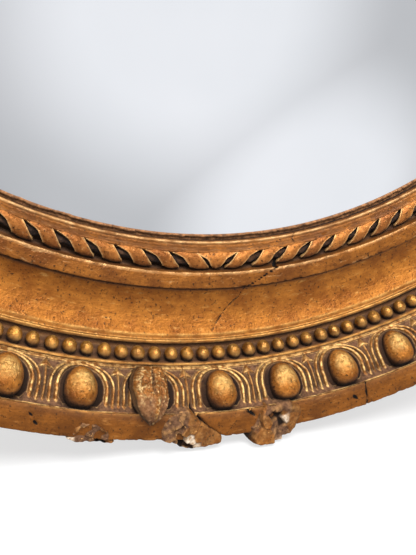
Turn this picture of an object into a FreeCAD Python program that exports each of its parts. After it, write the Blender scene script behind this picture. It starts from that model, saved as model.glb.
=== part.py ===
import FreeCAD, Part
import math
import os

# Round giltwood wall mirror with a convex glass. Millimetres.
# The mirror hangs on a wall that is the plane y = 0, and it faces -Y. X runs to the right, Z up.
# The origin is on the wall, behind the centre of the glass.
# A section point is (radius from the axis, height over the wall). An angle is measured from +X
# towards +Z, so the lowest point of the frame is at -90 degrees.
# The frame's circles are cut as flats, whose corners lie on the true circle. At 60 flats they
# stay within 0.7 mm of it.

BOTTOM = -90.0
flat_count = 60
hollow_steps = 5
glass_steps = 5
small_round_sides = 12

# Clearances
glue_gap = 0.15
seat_gap = 0.3
glass_play = 1.0
board_play = 1.0
pin_clearance = 0.05

# Back layer of straight-sawn blocks
block_count = 12
block_thickness = 20.0
block_width = 53.0

# Convex glass
sight_radius = 336.0
glass_cover = 11.0
glass_thickness = 4.0
glass_curve_radius = 1200.0
glass_edge_lift = 8.0

# Slip: a thin wedge ring that lies on the edge of the glass
slip_width = 8.0
slip_thickness = 1.6
slip_show = 3.0

# Sight moulding: a raised inner edge, a channel for the twisted ribbon, and a plain fascia
nose_width = 2.0
nose_height = 6.0
nose_flat = 4.0
channel_foot_in = 2.0
channel_foot_drop = 3.4
channel_width = 16.4
channel_wall = 4.5
fascia_rise = 2.4
fascia_width = 10.6
brow_rise = 10.2

# Hollow, two fillets and the bead channel
quirk_depth = 3.5
hollow_width = 30.1
hollow_rise = 5.5
hollow_sag = 4.6
fillet_width = 2.8
fillet_rise = 2.5
second_fillet_width = 2.2
bead_floor_inset = 4.0
bead_floor_drop = 1.6
bead_floor_width = 4.8
bead_floor_rise = 5.8
astragal_rise = 7.6
astragal_width = 2.0

# Beads
bead_count = 234
bead_half_width = 3.7
bead_half_length = 3.4
bead_height = 8.6
bead_crown = 0.55

# Egg-and-dart seat, ledge and outer fascia
seat_sink = 2.1
seat_width = 22.05
seat_rise = 23.5
ledge_back = 3.2
ledge_rise = 6.0
front_width = 16.3
front_rise = 2.8
side_flat = 15.0
side_taper = 20.0
side_inset = 8.6

# Egg-and-dart
egg_count = 60
egg_offset = -0.87
egg_half_width = 9.6
egg_half_length = 12.2
egg_foot = 0.4
egg_shoulder_share = 0.85
egg_shoulder_height = 8.5
egg_height = 13.9
husk_half_span = 14.6
husk_reach = 27.6
husk_half_width = 2.6
husk_height = 7.4
dart_half_width = 4.6
dart_barb = 20.5
dart_tip = 28.5
dart_height = 8.2
dart_foot = 1.0

# Twisted ribbon
ribbon_count = 116
ribbon_half_width = 6.6
ribbon_slant = 8.0
ribbon_height = 6.6
ribbon_crown_share = 0.55
ribbon_end_gap = 1.2

# Ornament is laid in runs, end to end
bead_runs = 6
egg_runs = 6
ribbon_runs = 4

# Broken bottom ornament: the torn leaf and the stumps
leaf_height = 9.0
left_stump_height = 3.0
middle_stump_height = 7.0
right_stump_height = 10.0

# Backboard, battens and nails
board_thickness = 10.0
plank_count = 5
plank_gap = 0.5
batten_width = 60.0
batten_share = 0.565
batten_end_gap = 10.0
nail_head = 5.0
nail_head_thickness = 1.2
nail_shank = 2.2
nail_bite = 12.0
nail_inset = 12.0

# Wedge blocks that press the glass forward
wedge_count = 12
wedge_length = 34.0
wedge_width = 20.0

# Hangers: a strap with a rolled eye, a D-shaped ring and two screws each
hanger_block = 15.0
pocket_depth = 9.0
pocket_side_gap = 3.4
pocket_end_gap = 4.4
strap_end_gap = 3.0
hanger_lift = 9.0
strap_width = 16.0
strap_length = 42.0
strap_thickness = 1.6
pin_radius = 1.6
ring_clearance = 0.4
ring_bar = 3.2
ring_thickness = 2.6
ring_leg = 4.0
bow_steps = 8
screw_spacing = 12.0
screw_end = 7.0
screw_head_radius = 3.2
screw_head_height = 1.4
screw_shank_radius = 1.7
screw_bite = 9.0
screw_sides = 6
hole_clearance = 0.2

# Heights over the wall
moulding_back = block_thickness
glass_edge_front = moulding_back + glass_edge_lift
board_back = block_thickness - board_thickness

# Radii of the rebate that holds the glass
rebate_radius = sight_radius + glass_cover
glass_radius = rebate_radius - glass_play
curve_centre = glass_edge_front - math.sqrt(glass_curve_radius ** 2 - glass_radius ** 2)


def glass_front(radius):
    return curve_centre + math.sqrt(glass_curve_radius ** 2 - radius ** 2)


def glass_back(radius):
    inner = glass_curve_radius - glass_thickness
    return curve_centre + math.sqrt(inner ** 2 - radius ** 2)


# Section points of the mouldings, each worked out from the one before
slip_top = glass_front(sight_radius) + seat_gap + slip_thickness
nose_radius = sight_radius + slip_show
sight_back = slip_top + seat_gap
nose_top = (nose_radius + nose_width, sight_back + nose_height)
channel_foot = (nose_top[0] + channel_foot_in, nose_top[1] - channel_foot_drop)
brow = (nose_top[0] + channel_width, nose_top[1] + brow_rise)
channel_head = (brow[0] + glue_gap, brow[1] - channel_wall)
fascia_edge = (brow[0] + fascia_width, brow[1] + fascia_rise)

shelf = sight_back - glue_gap
hollow_start = (fascia_edge[0] + glue_gap, fascia_edge[1] - quirk_depth)
hollow_end = (hollow_start[0] + hollow_width, hollow_start[1] + hollow_rise)
fillet = (hollow_end[0] + fillet_width, hollow_end[1])
second_fillet = (fillet[0] + second_fillet_width, fillet[1] + fillet_rise)
bead_foot = (second_fillet[0] + bead_floor_inset, second_fillet[1] - bead_floor_drop)
bead_head = (bead_foot[0] + bead_floor_width, bead_foot[1] + bead_floor_rise)
astragal = (bead_head[0], bead_head[1] + astragal_rise)
hollow_ring_edge = astragal[0] + astragal_width

seat_radius = hollow_ring_edge + glue_gap
seat_head = (seat_radius, astragal[1] - seat_sink)
seat_foot = (seat_head[0] + seat_width, seat_head[1] + seat_rise)
front_inner = (seat_foot[0] - ledge_back, seat_foot[1] + ledge_rise)
front_outer = (front_inner[0] + front_width, front_inner[1] + front_rise)
back_radius = front_outer[0] - side_inset

# The torn leaf covers the last egg, next to the bottom
lost_egg = egg_count - 1

# Back blocks: flats inside and outside, corners just inside the turned edge
block_step = 360.0 / block_count
half_step = math.radians(block_step / 2.0)
block_outer = back_radius * math.cos(half_step)
block_inner = block_outer - block_width
board_apothem = block_inner - board_play
board_corner = board_apothem / math.cos(half_step)
batten_spacing = batten_share * board_apothem

# Pocket for the hanger: clear of the ring at its sides and over it, and of the strap's end
ring_reach = strap_width / 2.0 + ring_clearance + ring_bar
pocket_width = 2.0 * (ring_reach + pocket_side_gap)
pocket_above = ring_leg + ring_reach + pocket_end_gap
pocket_below = strap_length + strap_end_gap


def place(radius, height, angle):
    """Point on a circle that is cut as flats, at an angle in degrees round the mirror."""
    flat = 360.0 / flat_count
    from_middle = math.radians(angle % flat - flat / 2.0)
    reach = radius * math.cos(math.radians(flat / 2.0)) / math.cos(from_middle)
    turn = math.radians(angle)
    return FreeCAD.Vector(reach * math.cos(turn), -height, reach * math.sin(turn))


def ring(corners):
    """Ring with this closed section, carried round the axis from flat to flat."""
    faces = []
    for number in range(flat_count):
        low = 360.0 * number / flat_count
        high = 360.0 * (number + 1) / flat_count
        for start, end in zip(corners, corners[1:] + corners[:1]):
            points = [place(*start, low), place(*end, low), place(*end, high), place(*start, high)]
            points = [point for index, point in enumerate(points)
                      if not point.isEqual(points[index - 1], 1e-6)]
            if len(points) > 2:
                faces.append(Part.Face(Part.makePolygon(points + points[:1])))
    return closed(faces)


def closed(faces):
    solid = Part.Solid(Part.Shell(faces))
    if solid.Volume < 0:
        solid.reverse()
    return solid


def arc_points(start, end, rise, steps):
    """Section points of an arc from start to end, which stands this far off its chord, to the
    left of the way. The end point is left out."""
    chord = math.dist(start, end)
    radius = (chord ** 2 / 4.0 + rise ** 2) / (2.0 * abs(rise))
    half = math.asin(chord / 2.0 / radius)
    run, climb = (end[0] - start[0]) / chord, (end[1] - start[1]) / chord
    points = []
    for index in range(steps):
        turn = half * (2.0 * index / steps - 1.0)
        along = chord / 2.0 + radius * math.sin(turn)
        stand = math.copysign(radius * (math.cos(turn) - math.cos(half)), rise)
        points.append((start[0] + run * along - climb * stand,
                       start[1] + climb * along + run * stand))
    return points


def slope(foot, head):
    """Straight seat from its foot to its head. Gives a function of the distance up the seat and
    the distance off it, on the side of the viewer."""
    length = math.dist(foot, head)
    up = ((head[0] - foot[0]) / length, (head[1] - foot[1]) / length)
    side = math.copysign(1.0, up[0])
    off = (-up[1] * side, up[0] * side)

    def spot(angle, across, along, away):
        radius = foot[0] + up[0] * along + off[0] * away
        height = foot[1] + up[1] * along + off[1] * away
        return place(radius, height, angle + math.degrees(across / radius))

    return spot, length


def faceted(rings):
    """Closed solid through rings of points, with flat facets. A ring of one point is a tip."""
    triangles = []
    for low, high in zip(rings, rings[1:]):
        count = max(len(low), len(high))
        for index in range(count):
            after = (index + 1) % count
            if len(low) > 1:
                triangles.append((low[index], low[after], high[index % len(high)]))
            if len(high) > 1:
                triangles.append((low[after % len(low)], high[after], high[index]))
    for ring in (rings[0], rings[-1]):
        for index in range(1, len(ring) - 1):
            triangles.append((ring[0], ring[index], ring[index + 1]))
    return closed([Part.Face(Part.makePolygon([a, b, c, a])) for a, b, c in triangles])


def box(low, high):
    size = [b - a for a, b in zip(low, high)]
    return Part.makeBox(size[0], size[1], size[2], FreeCAD.Vector(*low))


def save(name, *solids):
    shape = solids[0] if len(solids) == 1 else Part.makeCompound(list(solids))
    shape.exportStep("parts/" + name + ".step")


# Turned pieces

def mirror_glass():
    """Bent plate of even thickness, part of a sphere."""
    radii = [glass_radius * index / glass_steps for index in range(glass_steps + 1)]
    front = [(radius, glass_front(radius)) for radius in radii]
    back = [(radius, glass_back(radius)) for radius in radii]
    return ring(front + back[::-1])


def glass_slip():
    outer = sight_radius + slip_width
    return ring([(sight_radius, glass_front(sight_radius) + seat_gap), (sight_radius, slip_top),
                 (outer, slip_top), (outer, glass_front(outer) + seat_gap)])


def sight_ring():
    return ring([(nose_radius, sight_back), (nose_radius, sight_back + nose_flat), nose_top,
                 channel_foot, channel_head, brow, fascia_edge, (fascia_edge[0], sight_back)])


def hollow_ring():
    """Middle ring: rebate for the glass, hollow, two fillets, bead channel and astragal."""
    hollow = arc_points(hollow_start, hollow_end, -hollow_sag, hollow_steps)
    return ring([(rebate_radius, moulding_back), (rebate_radius, shelf), (hollow_start[0], shelf),
                 *hollow, hollow_end, fillet, (fillet[0], second_fillet[1]), second_fillet,
                 bead_foot, bead_head, astragal, (hollow_ring_edge, astragal[1]),
                 (hollow_ring_edge, moulding_back)])


def outer_ring():
    """Outer ring: seat for the egg-and-dart, ledge, broad front fascia and tapered side."""
    side_foot = front_outer[1] - side_flat
    return ring([(seat_radius, moulding_back), seat_head, seat_foot, front_inner, front_outer,
                 (front_outer[0], side_foot), (back_radius, side_foot - side_taper),
                 (back_radius, moulding_back)])


# Ornament

def diamond(spot, angle, middle, half_width, half_length, away):
    return [spot(angle, half_width, middle, away), spot(angle, 0, middle + half_length, away),
            spot(angle, -half_width, middle, away), spot(angle, 0, middle - half_length, away)]


def bead(spot, length, angle):
    middle = length / 2.0
    foot = diamond(spot, angle, middle, bead_half_width, bead_half_length, seat_gap)
    crown = diamond(spot, angle, middle, bead_half_width * bead_crown,
                    bead_half_length * bead_crown, bead_height)
    return faceted([foot, crown])


def oval(spot, angle, middle, half_width, half_length, away, sides=6):
    ring = []
    for index in range(sides):
        turn = 2.0 * math.pi * (index + 0.5) / sides
        ring.append(spot(angle, half_width * math.cos(turn),
                         middle + half_length * math.sin(turn), away))
    return ring


def egg(spot, angle):
    middle = egg_foot + egg_half_length
    foot = oval(spot, angle, middle, egg_half_width, egg_half_length, seat_gap)
    shoulder = oval(spot, angle, middle, egg_half_width * egg_shoulder_share,
                    egg_half_length * egg_shoulder_share, egg_shoulder_height)
    return faceted([foot, shoulder, [spot(angle, 0, middle, egg_height)]])


def husk(spot, angle):
    """Ridge that springs from both sides of an egg and arches over it."""
    stations = []
    steps = 4
    for index in range(steps + 1):
        turn = math.pi * index / steps
        side, rise = math.cos(turn), math.sin(turn)
        inner = 1.0 - husk_half_width / husk_half_span
        outer = 1.0 + husk_half_width / husk_half_span
        reach = husk_reach / husk_half_span
        span = husk_half_span
        stations.append([spot(angle, span * inner * side, egg_foot + span * inner * rise * reach,
                              seat_gap),
                         spot(angle, span * side, egg_foot + span * rise * reach, husk_height),
                         spot(angle, span * outer * side,
                              egg_foot + span * rise * reach + husk_half_width * rise, seat_gap)])
    return faceted(stations)


def dart(spot, angle):
    """Arrow between two eggs, its barbs near the beads."""
    foot = [spot(angle, 0, dart_foot, seat_gap), spot(angle, dart_half_width, dart_barb, seat_gap),
            spot(angle, 0, dart_tip, seat_gap), spot(angle, -dart_half_width, dart_barb, seat_gap)]
    return faceted([foot, [spot(angle, 0, dart_barb, dart_height)]])


def ribbon(spot, length, angle, lean_before, lean_after):
    """One turn of the ribbon. Its two long edges lean away from the lowest point of the frame."""
    shift = ribbon_slant / 2.0

    def outline(share, away, inset):
        width = ribbon_half_width * share
        low, high = inset, length - inset
        return [spot(angle, -width - lean_before * shift, low, away),
                spot(angle, width - lean_after * shift, low, away),
                spot(angle, width + lean_after * shift, high, away),
                spot(angle, -width + lean_before * shift, high, away)]

    inset = ribbon_end_gap + ribbon_height / 3.0
    return faceted([outline(1.0, seat_gap, ribbon_end_gap),
                    outline(ribbon_crown_share, ribbon_height, inset)])


def bead_run(run):
    spot, length = slope(bead_foot, bead_head)
    per_run = bead_count // bead_runs
    pitch = 360.0 / bead_count
    return [bead(spot, length, BOTTOM + pitch * number)
            for number in range(run * per_run, (run + 1) * per_run)]


def egg_run(run):
    """Eggs, husks and darts of one run. The lost egg's place is under the torn leaf."""
    spot, length = slope(seat_foot, seat_head)
    per_run = egg_count // egg_runs
    pitch = 360.0 / egg_count
    pieces = []
    for number in range(run * per_run, (run + 1) * per_run):
        angle = BOTTOM + egg_offset + pitch * number
        if number != lost_egg:
            pieces.append(egg(spot, angle))
        pieces.append(husk(spot, angle))
        pieces.append(dart(spot, angle + pitch / 2.0))
    return pieces


def gap_lean(number):
    """Lean of the gap after this turn: one way up the right half, the other up the left."""
    return 1.0 if number % ribbon_count < ribbon_count // 2 else -1.0


def ribbon_run(run):
    spot, length = slope(channel_head, channel_foot)
    per_run = ribbon_count // ribbon_runs
    pitch = 360.0 / ribbon_count
    return [ribbon(spot, length, BOTTOM + pitch * number, gap_lean(number - 1), gap_lean(number))
            for number in range(run * per_run, (run + 1) * per_run)]


# Broken remains of the bottom ornament. Outlines are (across, outward) from the middle of the
# front fascia, or for the leaf (across, share of the way up the seat).

def stump(angle, outline, crown, height):
    """Rough lump on the front fascia, from its outline to a smaller broken top."""
    spot, length = slope(front_outer, front_inner)
    middle = length / 2.0
    foot = [spot(angle, across, middle - outward, seat_gap) for across, outward in outline]
    top = []
    for index, (across, outward) in enumerate(outline):
        rough = 1.0 if index % 2 else 0.7
        top.append(spot(angle, across * crown, middle - outward * crown, height * rough))
    return faceted([foot, top])


def left_stump():
    outline = [(-12.5, 6.5), (-8.0, -1.5), (4.0, -1.5), (10.5, 2.0), (12.5, 6.0), (3.0, 9.5)]
    return stump(-101.95, outline, 0.6, left_stump_height)


def middle_stump():
    outline = [(-21.0, 3.0), (-16.0, -6.5), (-2.0, -7.5), (8.5, -2.0), (21.0, 7.0), (21.5, 11.0),
               (6.0, 16.5), (-12.0, 10.5)]
    return stump(-93.84, outline, 0.62, middle_stump_height)


def right_stump():
    outline = [(-19.0, 10.5), (-14.5, 1.0), (-7.0, -7.0), (10.5, -7.5), (18.0, -2.0),
               (15.0, 8.5), (3.5, 16.0), (-14.5, 16.5)]
    return stump(-86.4, outline, 0.6, right_stump_height)


def torn_leaf():
    """Leaf over the lost egg. It runs from the astragal, over the ledge, to a torn tip."""
    spot, length = slope(seat_foot, seat_head)
    angle = BOTTOM + egg_offset + (lost_egg - egg_count) * 360.0 / egg_count
    over = husk_height + seat_gap
    outline = [(-8.0, 0.97), (0.0, 1.0), (6.0, 0.92), (11.0, 0.62), (13.0, 0.3), (10.0, 0.0),
               (6.0, -0.25), (0.0, -0.12), (-6.0, 0.12), (-10.0, 0.38), (-12.5, 0.72)]
    foot = [spot(angle, across, share * length, over) for across, share in outline]
    top = []
    for index, (across, share) in enumerate(outline):
        rough = 0.75 if index % 2 else 1.0
        top.append(spot(angle, across * 0.6, length * (0.5 + (share - 0.5) * 0.7),
                        over + leaf_height * rough))
    return faceted([foot, top])


# Back of the frame

def prism(points, low, high):
    """Upright prism over the wall: points are (x, z), low and high are heights."""
    wire = Part.makePolygon([FreeCAD.Vector(x, -low, z) for x, z in points + points[:1]])
    return Part.Face(wire).extrude(FreeCAD.Vector(0, low - high, 0))


def polar(radius, angle):
    turn = math.radians(angle)
    return (radius * math.cos(turn), radius * math.sin(turn))


def hanger_place(side):
    """Where the hanger's pin is: x, height and z. The strap lies on the pocket's floor."""
    eye = pin_radius + pin_clearance + strap_thickness
    x, z = polar((block_inner + block_outer) / 2.0, hanger_block)
    return side * x, pocket_depth - eye, z + hanger_lift


def pocket(side):
    x, height, z = hanger_place(side)
    half = pocket_width / 2.0
    return box((x - half, -pocket_depth, z - pocket_below), (x + half, 1.0, z + pocket_above))


def back_block(number):
    """Straight-sawn block with mitred ends. The two that carry the hangers have a pocket."""
    middle = hanger_block + block_step * number
    inner = block_inner / math.cos(half_step)
    outer = block_outer / math.cos(half_step)
    low, high = middle - block_step / 2.0, middle + block_step / 2.0
    block = prism([polar(inner, low), polar(outer, low), polar(outer, high), polar(inner, high)],
                  0.0, block_thickness - glue_gap)
    for side in (1, -1):
        x, height, z = hanger_place(side)
        if math.cos(math.radians(middle) - math.atan2(z, x)) > math.cos(half_step):
            block = block.cut(pocket(side))
    return block


def plank_edge(number):
    """Left edge of a plank, as the board is shared out among them."""
    return board_corner * (2.0 * number / plank_count - 1.0)


def backboard(number):
    """One upright plank of the backboard, its ends cut to the blocks."""
    outline = [polar(board_corner, hanger_block + block_step * (index + 0.5))
               for index in range(block_count)]
    strip = box((plank_edge(number) + plank_gap / 2, -block_thickness, -board_corner),
                (plank_edge(number + 1) - plank_gap / 2, 0.0, board_corner))
    return prism(outline, board_back, block_thickness).common(strip)


def plank_middle(number):
    return (plank_edge(number) + plank_edge(number + 1)) / 2.0


def batten(level):
    """Level is -1, 0 or 1. Its back is flush with the backs of the blocks."""
    z = level * batten_spacing
    reach = abs(z) + batten_width / 2.0
    half = math.sqrt(board_apothem ** 2 - reach ** 2) - batten_end_gap
    return box((-half, -board_back, z - batten_width / 2), (half, 0.0, z + batten_width / 2))


def nail(x, head_back, z, length):
    """Square cut nail, driven from the wall side. head_back is the height of the head's back."""
    half = nail_head / 2.0
    head = box((x - half, -head_back - nail_head_thickness, z - half), (x + half, -head_back, z + half))
    thin = nail_shank / 2.0
    neck = head_back + nail_head_thickness
    shank = box((x - thin, -neck - length, z - thin), (x + thin, -neck, z + thin))
    return head.fuse(shank)


def board_nails():
    """A nail at each end of each plank, into the back of the middle ring."""
    nail_circle = board_apothem - nail_inset
    nails = []
    for number in range(plank_count):
        x = plank_middle(number)
        z = math.sqrt(nail_circle ** 2 - x ** 2)
        for end in (z, -z):
            nails.append(nail(x, board_back - nail_head_thickness, end,
                              board_thickness + nail_bite))
    return nails


def batten_nails():
    nails = []
    for level in (-1, 0, 1):
        for number in range(1, plank_count - 1):
            nails.append(nail(plank_middle(number), 0.0, level * batten_spacing,
                              board_back + board_thickness / 2.0))
    return nails


def wedge_blocks():
    """Small glue blocks between the backboard, the rebate's wall and the back of the glass."""
    outer = glass_radius - glass_play
    inner = outer - wedge_width
    low = block_thickness + seat_gap
    blocks = []
    for number in range(wedge_count):
        angle = 360.0 * (number + 0.5) / wedge_count
        section = [(inner, low), (outer, low), (outer, glass_back(outer) - seat_gap),
                   (inner, glass_back(inner) - 2.0 * seat_gap)]
        wire = Part.makePolygon([FreeCAD.Vector(r, -h, -wedge_length / 2)
                                 for r, h in section + section[:1]])
        block = Part.Face(wire).extrude(FreeCAD.Vector(0, 0, wedge_length))
        block.rotate(FreeCAD.Vector(0, 0, 0), FreeCAD.Vector(0, -1, 0), angle)
        blocks.append(block)
    return blocks


# Hangers

def rod(radius, length, x, height, z):
    """Round bar along X, cut as flats whose corners lie on the circle."""
    corners = []
    for index in range(small_round_sides + 1):
        turn = 2.0 * math.pi * index / small_round_sides
        corners.append(FreeCAD.Vector(x, radius * math.cos(turn) - height,
                                      z + radius * math.sin(turn)))
    return Part.Face(Part.makePolygon(corners)).extrude(FreeCAD.Vector(length, 0, 0))


def screw_spots(side):
    x, height, z = hanger_place(side)
    low = z - strap_length + screw_end
    return [(x, low), (x, low + screw_spacing)]


def hanger_strap(side):
    x, height, z = hanger_place(side)
    half = strap_width / 2.0
    plate = box((x - half, -pocket_depth, z - strap_length),
                (x + half, -pocket_depth + strap_thickness, z))
    eye = rod(pin_radius + pin_clearance + strap_thickness, strap_width, x - half, height, z)
    strap = plate.fuse(eye)
    bore = (pin_radius + pin_clearance) / math.cos(math.pi / small_round_sides)
    strap = strap.cut(rod(bore, strap_width, x - half, height, z))
    for hole_x, hole_z in screw_spots(side):
        strap = strap.cut(peg(hole_x, hole_z, screw_shank_radius + hole_clearance, 0.0,
                              pocket_depth + 1.0))
    return strap.removeSplitter()


def hanger_ring(side):
    """D-shaped ring: a round pin in the strap's eye, two legs and a half-round bow."""
    x, height, z = hanger_place(side)
    outer = ring_reach
    inner = outer - ring_bar

    def bow(radius):
        return [(x + radius * math.cos(turn), z - ring_leg - radius * math.sin(turn))
                for turn in (math.pi * index / bow_steps for index in range(bow_steps + 1))]

    top = z + ring_bar / 2.0
    outline = [(x + outer, top)] + bow(outer) + [(x - outer, top), (x - inner, top)]
    outline += bow(inner)[::-1] + [(x + inner, top)]
    legs = prism(outline, height - ring_thickness / 2.0, height + ring_thickness / 2.0)
    pin = rod(pin_radius, 2.0 * outer, x - outer, height, z)
    return pin.fuse(legs).removeSplitter()


def peg(x, z, radius, low, high):
    ring = [(x + radius * math.cos(2 * math.pi * index / screw_sides),
             z + radius * math.sin(2 * math.pi * index / screw_sides))
            for index in range(screw_sides)]
    return prism(ring, low, high)


def hanger_screws(side):
    face = pocket_depth - strap_thickness
    screws = []
    for x, z in screw_spots(side):
        head = peg(x, z, screw_head_radius, face - screw_head_height, face)
        shank = peg(x, z, screw_shank_radius, face, pocket_depth + screw_bite)
        screws.append(head.fuse(shank))
    return screws


os.makedirs("parts", exist_ok=True)

save("mirror_glass", mirror_glass())
save("glass_slip", glass_slip())
save("sight_ring", sight_ring())
save("hollow_ring", hollow_ring())
save("outer_ring", outer_ring())
for number in range(ribbon_runs):
    save("ribbon_run_%d" % (number + 1), *ribbon_run(number))
for number in range(bead_runs):
    save("bead_run_%d" % (number + 1), *bead_run(number))
for number in range(egg_runs):
    save("egg_run_%d" % (number + 1), *egg_run(number))
save("torn_leaf", torn_leaf())
save("left_stump", left_stump())
save("middle_stump", middle_stump())
save("right_stump", right_stump())
for number in range(block_count):
    save("back_block_%02d" % (number + 1), back_block(number))
for number in range(plank_count):
    save("backboard_plank_%d" % (number + 1), backboard(number))
for level, name in ((-1, "lower"), (0, "middle"), (1, "upper")):
    save("batten_" + name, batten(level))
save("board_nails", *board_nails())
save("batten_nails", *batten_nails())
save("wedge_blocks", *wedge_blocks())
for side, name in ((-1, "left"), (1, "right")):
    save("hanger_strap_" + name, hanger_strap(side))
    save("hanger_ring_" + name, hanger_ring(side))
    save("hanger_screws_" + name, *hanger_screws(side))
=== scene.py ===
import math
import bpy
import numpy as np
from mathutils import Matrix, Vector, noise


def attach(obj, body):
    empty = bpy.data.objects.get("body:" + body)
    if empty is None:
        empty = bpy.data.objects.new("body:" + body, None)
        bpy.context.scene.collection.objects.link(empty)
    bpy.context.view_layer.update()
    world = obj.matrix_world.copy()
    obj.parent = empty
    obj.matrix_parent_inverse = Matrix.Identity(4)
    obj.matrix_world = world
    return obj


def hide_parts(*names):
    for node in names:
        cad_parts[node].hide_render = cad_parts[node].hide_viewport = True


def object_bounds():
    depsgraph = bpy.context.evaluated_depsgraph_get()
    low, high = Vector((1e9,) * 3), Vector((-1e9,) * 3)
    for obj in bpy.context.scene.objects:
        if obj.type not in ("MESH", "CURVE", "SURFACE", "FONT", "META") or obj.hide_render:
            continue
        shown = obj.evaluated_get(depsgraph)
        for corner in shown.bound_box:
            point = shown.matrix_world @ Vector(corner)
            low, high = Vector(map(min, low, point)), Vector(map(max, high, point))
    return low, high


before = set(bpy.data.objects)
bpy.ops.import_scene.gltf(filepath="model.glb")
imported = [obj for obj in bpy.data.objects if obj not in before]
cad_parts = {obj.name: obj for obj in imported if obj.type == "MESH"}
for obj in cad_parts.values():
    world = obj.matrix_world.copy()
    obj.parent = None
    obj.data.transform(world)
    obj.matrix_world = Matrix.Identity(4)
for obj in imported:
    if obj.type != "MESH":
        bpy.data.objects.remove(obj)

cad_low, cad_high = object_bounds()


# Middle ring. One turned ring of pine under gesso and bronze gilding: a rebate for the glass,
# a wide hollow, two fillets, the channel of the beads and a narrow outer edge.

MM = 0.001
BOTTOM = -90.0
BACK = 20.0
DAMAGED = (-117.0, -64.0)
WEAR = 0.22
FRONT_START = 30.0


def at(radius, angle, height):
    """Points in metres from millimetres: radius, height over the wall, and angle in degrees."""
    turn = np.radians(angle)
    parts = np.broadcast_arrays(radius * np.cos(turn), -height, radius * np.sin(turn))
    return np.stack(parts, -1) * MM


def speckle(points, size, seed):
    """Smooth noise from -1 to 1 at each point, with lumps of one size in millimetres."""
    shift = Vector((seed * 3.7, seed * 1.9, seed * 5.3))
    scale = 1.0 / (size * MM)
    flat = points.reshape(-1, 3) * scale
    values = [noise.noise(Vector(point) + shift) for point in flat.tolist()]
    return np.array(values).reshape(points.shape[:-1])


def eased(corners, pitch, ease=0.9):
    """Section line through the corners, with each corner rounded and long runs divided."""
    line = []
    count = len(corners)
    for index in range(count):
        here = np.array(corners[index], float)
        before = np.array(corners[index - 1], float) - here
        after = np.array(corners[(index + 1) % count], float) - here
        cut = min(ease, 0.35 * np.linalg.norm(before), 0.35 * np.linalg.norm(after))
        start = here + before / np.linalg.norm(before) * cut
        end = here + after / np.linalg.norm(after) * cut
        for share in (0.0, 0.5, 1.0):
            line.append((1 - share) ** 2 * start + 2 * share * (1 - share) * here + share ** 2 * end)
    full = []
    for index, point in enumerate(line):
        onward = line[(index + 1) % len(line)]
        steps = max(1, int(np.linalg.norm(onward - point) / pitch))
        for step in range(steps):
            full.append(point + (onward - point) * step / steps)
    return np.array(full)


def stations():
    """Angles round the ring, close together where the gesso is cracked and chipped."""
    near = np.arange(DAMAGED[0], DAMAGED[1], 0.11)
    far = np.arange(DAMAGED[1], DAMAGED[0] + 360.0, 0.6)
    return np.concatenate([near, far])


def skin_faces(rows, columns, start, wrap):
    """Quads of a skin laid through closed loops, with its two ends closed by one face each."""
    row = np.arange(rows if wrap else rows - 1)[:, None]
    column = np.arange(columns)[None, :]
    onward = (row + 1) % rows
    beside = (column + 1) % columns
    quads = np.stack(np.broadcast_arrays(row * columns + column, onward * columns + column,
                                         onward * columns + beside, row * columns + beside), -1)
    faces = (quads.reshape(-1, 4) + start).tolist()
    if not wrap:
        faces.append((np.arange(columns) + start).tolist())
        faces.append((np.arange(columns)[::-1] + start + (rows - 1) * columns).tolist())
    return faces


def linked(name, data):
    made = bpy.data.objects.new(name, data)
    bpy.context.collection.objects.link(made)
    return made


def make(name, skins, materials, body="frame", wrap=False, pick=None, shades=None):
    """One piece from skins, each an array of closed loops of points, with its painted shades."""
    points, faces = [], []
    for skin in skins:
        faces += skin_faces(skin.shape[0], skin.shape[1], sum(map(len, points)), wrap)
        points.append(skin.reshape(-1, 3))
    mesh = bpy.data.meshes.new(name)
    mesh.from_pydata(np.concatenate(points).tolist(), [], faces)
    mesh.polygons.foreach_set("use_smooth", [True] * len(mesh.polygons))
    if pick is not None:
        mesh.polygons.foreach_set("material_index", pick)
    for shade, values in (shades or {}).items():
        layer = mesh.attributes.new(shade, "FLOAT", "POINT")
        layer.data.foreach_set("value", np.concatenate([part.reshape(-1) for part in values]))
    for material in materials:
        mesh.materials.append(material)
    mesh.update()
    piece = linked(name, mesh)
    piece.visible_glossy = False
    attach(piece, body)
    return piece


def outward(line):
    """Unit normals of a closed section line, away from the wood."""
    along = np.roll(line, -1, axis=0) - np.roll(line, 1, axis=0)
    normal = np.stack([-along[:, 1], along[:, 0]], -1)
    return normal / np.linalg.norm(normal, axis=1, keepdims=True)


def near_line(angle, radius, line):
    """Distance in millimetres from each point to a crack's line of (radius, angle) corners."""
    across = np.radians(angle - BOTTOM) * radius
    best = np.full(np.broadcast(angle, radius).shape, 1e3)
    for (r1, a1), (r2, a2) in zip(line, line[1:]):
        x1, x2 = math.radians(a1 - BOTTOM) * r1, math.radians(a2 - BOTTOM) * r2
        length = math.hypot(x2 - x1, r2 - r1)
        along = ((across - x1) * (x2 - x1) + (radius - r1) * (r2 - r1)) / length
        along = np.clip(along, 0.0, length)
        gap = np.hypot(across - x1 - along * (x2 - x1) / length,
                       radius - r1 - along * (r2 - r1) / length)
        best = np.minimum(best, gap)
    return best


def painted(line, spots):
    """Share of a shade along a section, from spots of (radius, height, reach, share)."""
    total = np.zeros(len(line))
    for radius, height, reach, share in spots:
        gap = np.hypot(line[:, 0] - radius, line[:, 1] - height)
        total = np.maximum(total, share * np.exp(-(gap / reach) ** 2))
    return total


def swept(line, angle, push=0.0):
    """A section line carried round the ring, with each of its points moved by a push."""
    spots = line[None] + push
    return at(spots[..., 0], angle[:, None], spots[..., 1])


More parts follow.
